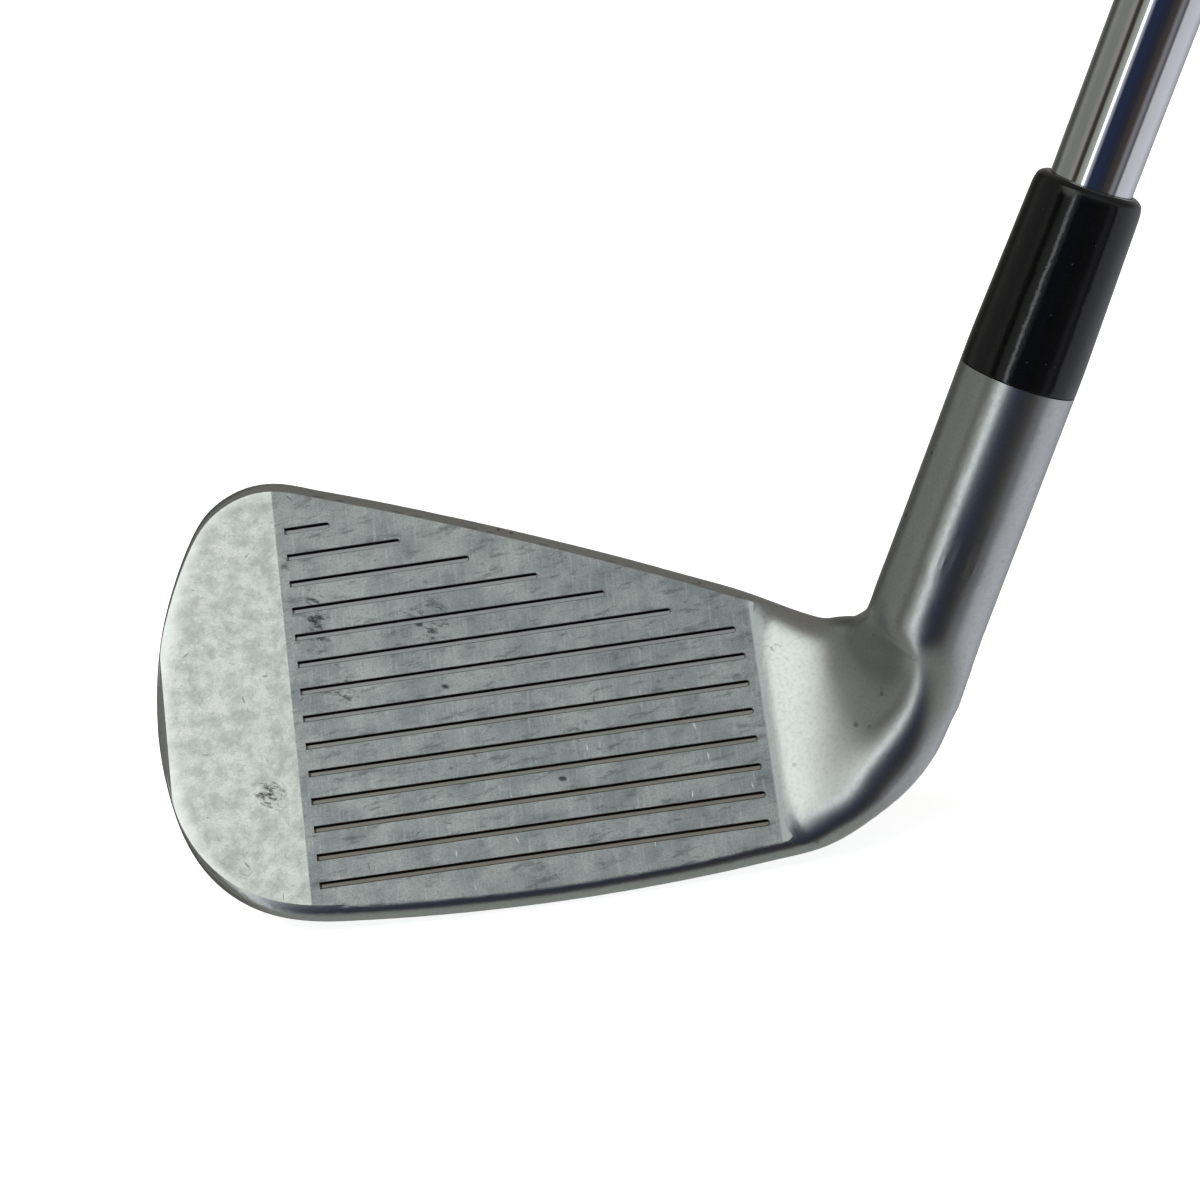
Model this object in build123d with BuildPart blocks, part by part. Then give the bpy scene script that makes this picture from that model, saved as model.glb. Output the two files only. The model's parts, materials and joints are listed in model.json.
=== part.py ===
from build123d import *
from math import acos, atan2, cos, pi, radians, sin, sqrt, tan
import os

os.makedirs("parts", exist_ok=True)

# ---------------------------------------------------------------- driving dimensions, mm
LOFT = radians(34)
LIE = radians(63)
FACE_Y = -4.0
FACE_Z = 3.086
TOP_THICK = 5.6
SOLE_WIDTH = 17.5
HOSEL_R = 6.75
HOSEL_END = 60.5
PROUD = 0.1
ROLL_LIFT = 0.2

HEEL_LINE = -6.0
COVE_R = 11.0
COVE_TURN = radians(75)
COVE_RISE = COVE_R * (1 - cos(COVE_TURN))
LINE_COUNT = 14
LINE_FIRST = 3.7
LINE_PITCH = 3.39
LINE_WIDTH = 0.85
LINE_DEPTH = 0.42
LINE_TOE = -60.3
LINE_HEEL = -7.1
FACE_THICK = 3.4
WEIGHT_X = -57.0
WEIGHT_V = 15.0
WEIGHT_R = 3.5
WEIGHT_LENGTH = 8.2
TAPE_THICK = 0.25
BADGE_THICK = 1.5
BORE_END = 28.0
TIP_END = 28.8
TIP_D = 9.02
TIP_TAPER = 0.0075
TAPER_END = 180.0
STEP_FIRST = 205.0
STEP_PITCH = 44.45
STEP_COUNT = 15
BUTT_R = 7.62
SHAFT_WALL = 0.48
SHAFT_END = 936.2
FERRULE_LENGTH = 22.9
FERRULE_TOP_R = 6.25
BAND_LOW = 521.0
BAND_HIGH = 557.0
GRIP_LOW = 672.8
GRIP_HIGH = 936.3
MOUTH_R = 8.3
CAP_R = 13.4
VENT_R = 1.6
CLUB_LENGTH = 939.8

SHAFT_DIR = (cos(LIE), 0, sin(LIE))


def tip_radius(t):
    """Outer radius of the tapered shaft tip at a distance from the ground."""
    return (TIP_D + TIP_TAPER * (t - TIP_END)) / 2


def polar_step(point, length, degrees):
    """The point a length away from another, in a direction given in degrees."""
    return (point[0] + length * cos(radians(degrees)), point[1] + length * sin(radians(degrees)))


# Outline of the blade in the face plane: five tangent arcs (x, height up the face).
TOE_R = 50.0
TOE_C = (-28.15, 25.3)
CROWN_R = 10.4
CROWN_C = polar_step(TOE_C, TOE_R - CROWN_R, 151.3)
LINE_R = 500.0
LINE_C = polar_step(CROWN_C, CROWN_R - LINE_R, 71)
CHIN_R = 20.0
CHIN_C = polar_step(TOE_C, TOE_R - CHIN_R, 195)
EDGE_R = 260.0
EDGE_C = polar_step(CHIN_C, CHIN_R - EDGE_R, 264.2)


def arc_height(x, centre, radius, side):
    return centre[1] + side * sqrt(max(radius**2 - (x - centre[0]) ** 2, 0))


def top_height(x):
    """Height of the topline up the face."""
    if x < polar_step(TOE_C, TOE_R, 151.3)[0]:
        return arc_height(x, TOE_C, TOE_R, 1)
    if x < polar_step(CROWN_C, CROWN_R, 71)[0]:
        return arc_height(x, CROWN_C, CROWN_R, 1) + ROLL_LIFT * ease((x + 76) / 8)
    return arc_height(x, LINE_C, LINE_R, 1) + ROLL_LIFT


def edge_height(x):
    """Height of the leading edge up the face."""
    if x < polar_step(TOE_C, TOE_R, 195)[0]:
        return arc_height(x, TOE_C, TOE_R, -1)
    if x < polar_step(CHIN_C, CHIN_R, 264.2)[0]:
        return arc_height(x, CHIN_C, CHIN_R, -1)
    return arc_height(x, EDGE_C, EDGE_R, -1)


def ease(t):
    t = min(max(t, 0), 1)
    return t * t * (3 - 2 * t)


def on_face(v, n):
    """(height up the face, distance out of it) to (y, z)."""
    return (FACE_Y + v * sin(LOFT) - n * cos(LOFT), FACE_Z + v * cos(LOFT) + n * sin(LOFT))


def blade_corners(x, top, edge):
    """Leading edge, front top, back top and trailing edge corners of one section, as (y, z)."""
    rim = x - (TOE_C[0] - TOE_R)
    tuck = 0.0
    if rim < 2:
        tuck = 2 - sqrt(max(4 - (2 - rim) ** 2, 0))
    deep = SOLE_WIDTH * cos(LOFT) * (0.86 + 0.14 * ease(-x / 50))
    slope = (deep - TOP_THICK) / (arc_height(x, LINE_C, LINE_R, 1) - 9)

    def thickness(v):
        return min(TOP_THICK + slope * (arc_height(x, LINE_C, LINE_R, 1) - v), deep)

    toe = ease((-60 - x) / 18)
    thick_top = thickness(top)
    thick_low = thickness(edge + 9 * toe)
    rise = LOFT * (1.03 - 0.5 * toe)
    front_low = on_face(edge, PROUD - tuck)
    front_top = on_face(top, PROUD - tuck)
    back_top = on_face(top, tuck - thick_top)
    lift = thick_low * tan(rise) * ease((top - edge) / 30)
    back_low = on_face(edge + lift, tuck - thick_low)
    return [front_low, front_top, back_top, back_low]


def rounded_nodes(corners, radii, swell):
    """Two nodes a corner, (position, direction), going round front, top, back and sole."""
    nodes = []
    for i in range(4):
        before = Vector(*corners[i - 1])
        here = Vector(*corners[i])
        after = Vector(*corners[(i + 1) % 4])
        back = (before - here).normalized()
        ahead = (after - here).normalized()
        half = acos(max(-1, min(1, back.dot(ahead)))) / 2
        reach = radii[i] / tan(half)
        reach_in = min(reach, 0.42 * (before - here).length)
        reach_out = min(reach, 0.42 * (after - here).length)
        reach = min(reach_in, reach_out)
        nodes.append((here + back * reach, (-back).rotate(Axis.Z, -swell[i - 1])))
        nodes.append((here + ahead * reach, ahead.rotate(Axis.Z, swell[i])))
    return nodes


def ring_nodes(radius, middle):
    """The same eight nodes on a circle."""
    nodes = []
    for centre in (225, 135, 45, -45):
        for turn in (30, -30):
            a = radians(centre + turn)
            place = Vector(radius * cos(a), middle + radius * sin(a))
            nodes.append((place, Vector(sin(a), -cos(a))))
    return nodes


def section(plane, nodes):
    """Flat face inside a closed smooth loop, one cubic between each pair of nodes."""
    loop = []
    for i in range(len(nodes)):
        p, u = nodes[i]
        q, w = nodes[(i + 1) % len(nodes)]
        turn = acos(max(-1, min(1, u.dot(w))))
        handle = (q - p).length / (3 * cos(turn / 4) ** 2)
        points = (p, p + u * handle, q - w * handle, q)
        loop.append(Bezier(*[plane.from_local_coords(Vector(a.X, a.Y, 0)) for a in points]))
    return Face(Wire(loop))


# ---------------------------------------------------------------- neck stations
CROTCH_R = 6.0
CROTCH_C = (7.7 - CROTCH_R * sin(LIE), 29.9 + CROTCH_R * cos(LIE))
HEEL_R = 24.0
HEEL_Z = 14.3
HEEL_X = HEEL_Z / tan(LIE) + HOSEL_R / sin(LIE)
HEEL_C = (HEEL_X - HEEL_R * sin(LIE), HEEL_Z + HEEL_R * cos(LIE))
RADII = (2.2, 2.9, 2.0, 4.5)
SWELL = (0, 0, 0, 5)


def fan_points(angle):
    """Crotch point and heel point of the section at a fan angle, as (x, z)."""
    d = (sin(angle), -cos(angle))
    inner = (CROTCH_C[0] + CROTCH_R * d[0], CROTCH_C[1] + CROTCH_R * d[1])
    w = (CROTCH_C[0] - HEEL_C[0], CROTCH_C[1] - HEEL_C[1])
    along = w[0] * d[0] + w[1] * d[1]
    reach = -along + sqrt(along**2 - (w[0] ** 2 + w[1] ** 2) + HEEL_R**2)
    outer = (CROTCH_C[0] + reach * d[0], CROTCH_C[1] + reach * d[1])
    straight = (CROTCH_R + 2 * HOSEL_R) / cos(LIE - angle)
    level = CROTCH_C[1] + straight * d[1]
    if level >= HEEL_Z:
        outer = (CROTCH_C[0] + straight * d[0], level)
    return inner, outer


def neck_nodes(top_z, low_z, length, share):
    """Section of the neck: a share of the way from the blade's shape to the hosel's circle."""
    top = (top_z - FACE_Z) / cos(LOFT)
    edge = (low_z - FACE_Z) / cos(LOFT)
    scale = length / (top_z - low_z)
    corners = []
    for y, z in blade_corners(0, top, edge):
        corners.append((y, (z - low_z) * scale))
    corners[0] = (-5.6, corners[0][1])
    corners[3] = (min(corners[3][0], 11.0), corners[3][1])
    blade = rounded_nodes(corners, [r + 3 * share for r in RADII], SWELL)
    ring = ring_nodes(HOSEL_R, length / 2)
    nodes = []
    for (p, u), (q, w) in zip(blade, ring):
        if length > 2 * HOSEL_R:
            q = Vector(q.X, length / 2 + (q.Y - length / 2) * length / (2 * HOSEL_R))
        nodes.append((p + (q - p) * share, (u + (w - u) * share).normalized()))
    return nodes


# ---------------------------------------------------------------- head
sections = []
toe_turns = [1.5 + 3.4 * k for k in range(7)]
stations = [TOE_C[0] - TOE_R * cos(radians(a)) for a in toe_turns]
stations = stations + [-72.3, -70.6, -68.6, -66.4, -64, -61, -57, -51, -44, -36, -27, -18, -11, -6.5]
for x in stations:
    upright = Plane(origin=(x, 0, 0), x_dir=(0, 1, 0), z_dir=(1, 0, 0))
    corners = blade_corners(x, top_height(x), edge_height(x))
    sections.append(section(upright, rounded_nodes(corners, RADII, SWELL)))
for step in range(6):
    angle = LIE * step / 5
    (xi, zi), (xo, zo) = fan_points(angle)
    length = sqrt((xi - xo) ** 2 + (zi - zo) ** 2)
    share = 0.12 + 0.88 * ease(step / 5)
    fan = Plane(origin=(xo, 0, zo), x_dir=(0, 1, 0), z_dir=(cos(angle), 0, sin(angle)))
    sections.append(section(fan, neck_nodes(zi, zo, length, share)))
for t in (32, 34):
    ring = Plane(origin=(t * cos(LIE), 0, t * sin(LIE)), x_dir=(0, 1, 0), z_dir=SHAFT_DIR)
    sections.append(section(ring, ring_nodes(HOSEL_R, 0)))

FACE = Plane(origin=(0, FACE_Y, FACE_Z), x_dir=(1, 0, 0), z_dir=(0, -cos(LOFT), sin(LOFT)))
ACROSS = Plane(origin=(0, FACE_Y, FACE_Z), x_dir=(1, 0, 0), z_dir=(0, -sin(LOFT), -cos(LOFT)))
SHAFT_SIDE = Plane(origin=(0, 0, 0), x_dir=(0, 1, 0), z_dir=(sin(LIE), 0, -cos(LIE)))
SHAFT_AXIS = Axis((0, 0, 0), SHAFT_DIR)


def along_shaft(t):
    """Plane square to the shaft at a distance from the ground."""
    return Plane(origin=(t * cos(LIE), 0, t * sin(LIE)), x_dir=(0, 1, 0), z_dir=SHAFT_DIR)


def finish(builder, name):
    builder.part.label = name
    export_step(builder.part, "parts/" + name + ".step")


def cavity_outline():
    """Outline of the back cavity in the face plane."""
    ThreePointArc((-65, 20.5), (-68.8, 30), (-65.5, 41.5))
    Line((-65.5, 41.5), (-61, 46.5))
    Line((-61, 46.5), (-13, 27.6))
    Line((-13, 27.6), (-14.5, 19.5))
    Line((-14.5, 19.5), (-65, 20.5))


def cavity_rim(edge):
    """True for an edge of the cavity's mouth, which runs along the slanting back."""
    ends = [FACE.to_local_coords(edge @ k) for k in (0, 0.5, 1)]
    return all(p.Z < -FACE_THICK - 1 and p.Y > 15 for p in ends) and abs(ends[0].Z - ends[2].Z) < 0.9 * edge.length


with BuildPart() as head_body:
    loft(sections=sections)
    extrude(sections[-1], amount=HOSEL_END - 34, dir=SHAFT_DIR)
    # hitting face, running out into a cove at the heel
    with BuildSketch(ACROSS):
        with BuildLine():
            Line((-95, 0), (HEEL_LINE, 0))
            cove = RadiusArc((HEEL_LINE, 0), (HEEL_LINE + COVE_R * sin(COVE_TURN), COVE_RISE), -COVE_R)
            Polyline(cove @ 1, (HEEL_LINE + COVE_R * sin(COVE_TURN), 45), (-95, 45), (-95, 0))
        make_face()
    extrude(amount=70, both=True, mode=Mode.SUBTRACT)
    # score lines
    with BuildSketch(FACE):
        for i in range(LINE_COUNT):
            end = LINE_HEEL
            if i >= 7:
                end = LINE_HEEL - 0.7 - 7.25 * (i - 7) - 0.095 * (i - 7) ** 2
            v = LINE_FIRST + LINE_PITCH * i
            half = LINE_WIDTH / 2
            with BuildLine():
                Polyline((end - half, v + half), (LINE_TOE, v + half), (LINE_TOE, v - half), (end - half, v - half))
                ThreePointArc((end - half, v - half), (end, v), (end - half, v + half))
            make_face()
    extrude(amount=-LINE_DEPTH, taper=25, mode=Mode.SUBTRACT)
    # cavity in the back
    with BuildSketch(FACE.offset(-FACE_THICK)) as cavity:
        with BuildLine():
            cavity_outline()
        make_face()
        fillet(cavity.vertices(), 4.5)
    before = head_body.edges()
    extrude(amount=-30, mode=Mode.SUBTRACT)
    fresh = [e for e in head_body.edges() if e not in before]
    floor = [e for e in fresh if abs(FACE.to_local_coords(e @ 0.5).Z + FACE_THICK) < 0.01]
    rim = [e for e in fresh if cavity_rim(e)]
    fillet(floor, 0.9)
    fillet(rim, 0.8)
    # blind bore for the toe weight
    with BuildSketch(FACE.offset(-5)):
        with Locations((WEIGHT_X, WEIGHT_V)):
            Circle(WEIGHT_R)
    extrude(amount=-20, mode=Mode.SUBTRACT)
    # tapered bore for the shaft
    with BuildSketch(SHAFT_SIDE):
        Polygon((0, BORE_END), (tip_radius(BORE_END) + 0.15, BORE_END),
                (tip_radius(HOSEL_END + 1) + 0.15, HOSEL_END + 1), (0, HOSEL_END + 1), align=None)
    revolve(axis=SHAFT_AXIS, mode=Mode.SUBTRACT)
finish(head_body, "head_body")

# ---------------------------------------------------------------- badge, its tape and the toe weight
with BuildPart() as badge_tape:
    with BuildSketch(FACE.offset(-FACE_THICK)) as film:
        with BuildLine():
            cavity_outline()
        make_face()
        fillet(film.vertices(), 4.5)
        offset(amount=-2.2, mode=Mode.REPLACE)
    extrude(amount=-TAPE_THICK)
finish(badge_tape, "badge_tape")

with BuildPart() as cavity_badge:
    with BuildSketch(FACE.offset(-FACE_THICK - TAPE_THICK)) as plate:
        with BuildLine():
            cavity_outline()
        make_face()
        fillet(plate.vertices(), 4.5)
        offset(amount=-1.0, mode=Mode.REPLACE)
    extrude(amount=-BADGE_THICK)
    # raised ribs
    with BuildSketch(FACE.offset(-FACE_THICK - TAPE_THICK - BADGE_THICK)) as ribs:
        with BuildLine():
            cavity_outline()
        make_face()
        fillet(ribs.vertices(), 4.5)
        offset(amount=-2.4, mode=Mode.REPLACE)
        for i in range(16):
            with Locations((-66 + 4.2 * i, 33)):
                Rectangle(2.6, 60, rotation=-24, mode=Mode.SUBTRACT)
    extrude(amount=-0.35)
finish(cavity_badge, "cavity_badge")

with BuildPart() as toe_weight:
    with BuildSketch(FACE.offset(-5.02)):
        with Locations((WEIGHT_X, WEIGHT_V)):
            Circle(WEIGHT_R - 0.02)
    extrude(amount=-WEIGHT_LENGTH)
    chamfer(toe_weight.faces().sort_by(Axis.Y)[-1].edges(), 0.35)
finish(toe_weight, "toe_weight")


# ---------------------------------------------------------------- shaft, all round one axis
def shaft_corners():
    """Corners of the stepped tube's outside, (radius, distance from the ground)."""
    corners = [(tip_radius(TIP_END), TIP_END), (tip_radius(TAPER_END), TAPER_END)]
    rise = (BUTT_R - tip_radius(TAPER_END)) / STEP_COUNT
    for k in range(STEP_COUNT):
        t = STEP_FIRST + STEP_PITCH * k
        r = tip_radius(TAPER_END) + rise * k
        corners.append((r, t))
        corners.append((r + rise, t + 1.2))
    corners.append((BUTT_R, SHAFT_END))
    return corners


def shaft_radius(t):
    corners = shaft_corners()
    for (r0, t0), (r1, t1) in zip(corners, corners[1:]):
        if t <= t1:
            return r0 + (r1 - r0) * (t - t0) / (t1 - t0)
    return BUTT_R


def shaft_line(gap, low, high):
    """The tube's outside moved out by a gap, between two distances from the ground."""
    inside = [(r + gap, t) for r, t in shaft_corners() if low < t < high]
    return [(shaft_radius(low) + gap, low)] + inside + [(shaft_radius(high) + gap, high)]


def sleeve(inner, outer):
    """Closed outline between two lines that run up the shaft."""
    Polyline(*outer, *reversed(inner), outer[0])


with BuildPart() as shaft:
    with BuildSketch(SHAFT_SIDE):
        with BuildLine():
            sleeve(shaft_line(-SHAFT_WALL, TIP_END, SHAFT_END), shaft_line(0, TIP_END, SHAFT_END))
        make_face()
    revolve(axis=SHAFT_AXIS)
finish(shaft, "shaft")

with BuildPart() as hosel_epoxy:
    with BuildSketch(SHAFT_SIDE):
        with BuildLine():
            sleeve(shaft_line(0.02, TIP_END, HOSEL_END - 0.4), shaft_line(0.13, TIP_END, HOSEL_END - 0.4))
        make_face()
    revolve(axis=SHAFT_AXIS)
finish(hosel_epoxy, "hosel_epoxy")

with BuildPart() as tip_weight:
    with BuildSketch(along_shaft(TIP_END - 0.65)):
        Circle(4.3)
    extrude(amount=0.6)
    with BuildSketch(along_shaft(TIP_END - 0.1)):
        Circle(TIP_D / 2 - SHAFT_WALL - 0.05)
    extrude(amount=24)
finish(tip_weight, "tip_weight")

with BuildPart() as ferrule:
    with BuildSketch(SHAFT_SIDE):
        with BuildLine():
            low = HOSEL_END + 0.05
            top = HOSEL_END + FERRULE_LENGTH
            Polyline((FERRULE_TOP_R, top - 1.6), (HOSEL_R, low + 3), (HOSEL_R, low), (shaft_radius(low) + 0.03, low),
                     (shaft_radius(top) + 0.03, top), (FERRULE_TOP_R - 0.9, top))
            ThreePointArc((FERRULE_TOP_R - 0.9, top), (FERRULE_TOP_R - 0.22, top - 0.5), (FERRULE_TOP_R, top - 1.6))
        make_face()
    revolve(axis=SHAFT_AXIS)
finish(ferrule, "ferrule")

with BuildPart() as shaft_band:
    with BuildSketch(SHAFT_SIDE):
        with BuildLine():
            sleeve(shaft_line(0.02, BAND_LOW, BAND_HIGH), shaft_line(0.12, BAND_LOW, BAND_HIGH))
        make_face()
    revolve(axis=SHAFT_AXIS)
finish(shaft_band, "shaft_band")

# ---------------------------------------------------------------- grip
with BuildPart() as grip_tape:
    with BuildSketch(SHAFT_SIDE):
        with BuildLine():
            sleeve(shaft_line(0.03, GRIP_LOW + 4, SHAFT_END), shaft_line(0.25, GRIP_LOW + 4, SHAFT_END))
        make_face()
    revolve(axis=SHAFT_AXIS)
finish(grip_tape, "grip_tape")

with BuildPart() as grip:
    with BuildSketch(SHAFT_SIDE):
        with BuildLine():
            bore = shaft_line(0.28, GRIP_LOW, GRIP_HIGH)
            lip = Line(bore[0], (MOUTH_R - 0.8, GRIP_LOW))
            ThreePointArc((MOUTH_R - 0.8, GRIP_LOW), (MOUTH_R - 0.24, GRIP_LOW + 0.24), (MOUTH_R, GRIP_LOW + 0.8))
            side = Spline((MOUTH_R, GRIP_LOW + 0.8), (9.75, GRIP_LOW + 110), (11.3, GRIP_LOW + 210),
                          (12.2, GRIP_HIGH - 20), (CAP_R, GRIP_HIGH - 3))
            Polyline(side @ 1, (CAP_R, GRIP_HIGH), bore[-1])
            Polyline(*bore)
        make_face()
    revolve(axis=SHAFT_AXIS)
    # ring grooves at the mouth and under the cap
    with BuildSketch(SHAFT_SIDE):
        for k in range(6):
            with Locations((MOUTH_R + 0.9, GRIP_LOW + 5 + 3.6 * k)):
                Rectangle(2.0, 1.2)
        for k in range(3):
            with Locations((CAP_R + 0.0, GRIP_HIGH - 9 - 3.2 * k)):
                Rectangle(2.0, 1.0)
    revolve(axis=SHAFT_AXIS, mode=Mode.SUBTRACT)
finish(grip, "grip")

with BuildPart() as grip_cap:
    with BuildSketch(SHAFT_SIDE):
        with BuildLine():
            Polyline((CAP_R, GRIP_HIGH + 0.05), (VENT_R, GRIP_HIGH + 0.05), (VENT_R, CLUB_LENGTH), (8.5, CLUB_LENGTH))
            ThreePointArc((8.5, CLUB_LENGTH), (11.9, CLUB_LENGTH - 0.8), (CAP_R, CLUB_LENGTH - 2.4))
            Line((CAP_R, CLUB_LENGTH - 2.4), (CAP_R, GRIP_HIGH + 0.05))
        make_face()
    revolve(axis=SHAFT_AXIS)
finish(grip_cap, "grip_cap")
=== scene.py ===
import json
import math

import bmesh
import bpy
import numpy as np
from mathutils import Matrix, Vector


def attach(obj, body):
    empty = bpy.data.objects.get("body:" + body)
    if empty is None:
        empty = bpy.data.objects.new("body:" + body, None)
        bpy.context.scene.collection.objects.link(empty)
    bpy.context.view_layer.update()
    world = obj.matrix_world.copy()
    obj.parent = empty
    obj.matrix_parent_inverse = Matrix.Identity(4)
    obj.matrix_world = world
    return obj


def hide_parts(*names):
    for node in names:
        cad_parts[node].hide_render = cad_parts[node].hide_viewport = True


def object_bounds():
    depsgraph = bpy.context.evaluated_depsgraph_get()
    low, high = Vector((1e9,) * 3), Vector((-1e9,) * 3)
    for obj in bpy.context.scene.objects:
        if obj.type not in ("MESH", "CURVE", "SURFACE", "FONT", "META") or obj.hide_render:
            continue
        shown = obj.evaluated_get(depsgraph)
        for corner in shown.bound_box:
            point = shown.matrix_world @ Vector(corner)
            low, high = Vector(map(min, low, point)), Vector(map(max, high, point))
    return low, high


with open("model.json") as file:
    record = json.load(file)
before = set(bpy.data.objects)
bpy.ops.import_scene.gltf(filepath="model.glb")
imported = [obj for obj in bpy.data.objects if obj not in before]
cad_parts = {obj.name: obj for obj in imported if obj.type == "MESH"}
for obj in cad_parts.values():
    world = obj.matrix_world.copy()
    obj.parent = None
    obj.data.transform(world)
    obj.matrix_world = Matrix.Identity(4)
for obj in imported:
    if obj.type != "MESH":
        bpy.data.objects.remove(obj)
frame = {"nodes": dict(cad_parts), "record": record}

CAD_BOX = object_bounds()
MM = 0.001
RECORD = frame["record"]
NODES = frame["nodes"]
MOUNTS = {m["name"]: m for m in RECORD["mounts"]}
SLOT_OF = {s["node"]: s["material_slot"] for s in RECORD["subparts"]}

# ------------------------------------------------------------------ directions of the club
SHAFT_DIR = Vector(MOUNTS["hand_hold"]["axis"]).normalized()
SIDE_DIR = Vector((0.0, 1.0, 0.0))
ACROSS = SIDE_DIR.cross(SHAFT_DIR).normalized()
FACE_N = Vector(MOUNTS["hitting_face"]["axis"]).normalized()
FACE_V = Vector((0.0, FACE_N.z, -FACE_N.y))
FACE_FOOT = Vector((0.0, -4.0, 3.086))

# outline of the hitting face in its own plane, mm: centre, radius, first and last angle of each arc
TOE_C = (-28.15, 25.3)


def polar(point, length, degrees):
    a = math.radians(degrees)
    return (point[0] + length * math.cos(a), point[1] + length * math.sin(a))


CROWN_C = polar(TOE_C, 50 - 10.4, 151.3)
CHIN_C = polar(TOE_C, 50 - 20, 195)
LINE_C = polar(CROWN_C, 10.4 - 500, 71)
EDGE_C = polar(CHIN_C, 20 - 260, 264.2)
ARCS = ((TOE_C, 50, 151.3, 195), (CROWN_C, 10.4, 71, 151.3), (CHIN_C, 20, 195, 264.2),
        (LINE_C, 500, 60, 71), (EDGE_C, 260, 264.2, 290))


# ------------------------------------------------------------------ node helper
class Tree:
    """Short hand for building a node tree."""

    def link(self, a, b):
        self.t.links.new(a, b)

    def put(self, socket, value):
        if isinstance(value, bpy.types.NodeSocket):
            self.link(value, socket)
        elif value is not None:
            socket.default_value = value

    def node(self, kind, *values, output=0, **settings):
        n = self.t.nodes.new(kind)
        for key, value in settings.items():
            setattr(n, key, value)
        for i, value in enumerate(values):
            self.put(n.inputs[i], value)
        return n.outputs[output]

    def math(self, op, a, b=None, c=None):
        return self.node("ShaderNodeMath", a, b, c, operation=op)

    def mul(self, *values):
        product = values[0]
        for value in values[1:]:
            product = self.math("MULTIPLY", product, value)
        return product

    def add(self, *values):
        total = values[0]
        for value in values[1:]:
            total = self.math("ADD", total, value)
        return total

    def most(self, *values):
        top = values[0]
        for value in values[1:]:
            top = self.math("MAXIMUM", top, value)
        return top

    def off(self, value):
        return self.math("SUBTRACT", 1.0, value)

    def dot(self, a, b):
        return self.node("ShaderNodeVectorMath", a, tuple(b), operation="DOT_PRODUCT", output=1)

    def minus(self, a, b):
        return self.node("ShaderNodeVectorMath", a, tuple(b), operation="SUBTRACT")

    def plus(self, a, b):
        return self.node("ShaderNodeVectorMath", a, b, operation="ADD")

    def times(self, a, b):
        return self.node("ShaderNodeVectorMath", a, tuple(b), operation="MULTIPLY")

    def length(self, a):
        return self.node("ShaderNodeVectorMath", a, operation="LENGTH", output=1)

    def combine(self, x, y, z=0.0):
        return self.node("ShaderNodeCombineXYZ", x, y, z)

    def step(self, value, low, high):
        """0 at low, 1 at high, smooth between."""
        return self.node("ShaderNodeMapRange", value, low, high, 0.0, 1.0, interpolation_type="SMOOTHSTEP")

    def noise(self, vector, scale, detail=3.0, rough=0.5, color=False):
        n = self.t.nodes.new("ShaderNodeTexNoise")
        self.put(n.inputs["Vector"], vector)
        n.inputs["Scale"].default_value = scale
        n.inputs["Detail"].default_value = detail
        n.inputs["Roughness"].default_value = rough
        return n.outputs[1 if color else 0]

    def cells(self, vector, scale, output="Distance"):
        n = self.t.nodes.new("ShaderNodeTexVoronoi")
        self.put(n.inputs["Vector"], vector)
        n.inputs["Scale"].default_value = scale
        return n.outputs[output]

    def mix(self, factor, a, b):
        n = self.t.nodes.new("ShaderNodeMix")
        n.data_type = "RGBA"
        self.put(n.inputs[0], factor)
        self.put(n.inputs[6], a if isinstance(a, bpy.types.NodeSocket) else (*a, 1.0))
        self.put(n.inputs[7], b if isinstance(b, bpy.types.NodeSocket) else (*b, 1.0))
        return n.outputs[2]

    def blend(self, factor, a, b):
        n = self.t.nodes.new("ShaderNodeMix")
        self.put(n.inputs[0], factor)
        self.put(n.inputs[2], a)
        self.put(n.inputs[3], b)
        return n.outputs[0]

    def turn(self, vector, degrees):
        n = self.t.nodes.new("ShaderNodeVectorRotate")
        n.rotation_type = "Z_AXIS"
        self.put(n.inputs["Vector"], vector)
        n.inputs["Angle"].default_value = math.radians(degrees)
        return n.outputs[0]

    def ramp(self, value, stops):
        n = self.t.nodes.new("ShaderNodeValToRGB")
        self.put(n.inputs[0], value)
        found = n.color_ramp.elements
        found.remove(found[-1])
        found[0].position = stops[0][0]
        found[0].color = (*stops[0][1], 1.0)
        for position, color in stops[1:]:
            found.new(position).color = (*color, 1.0)
        return n.outputs[0]


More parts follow.
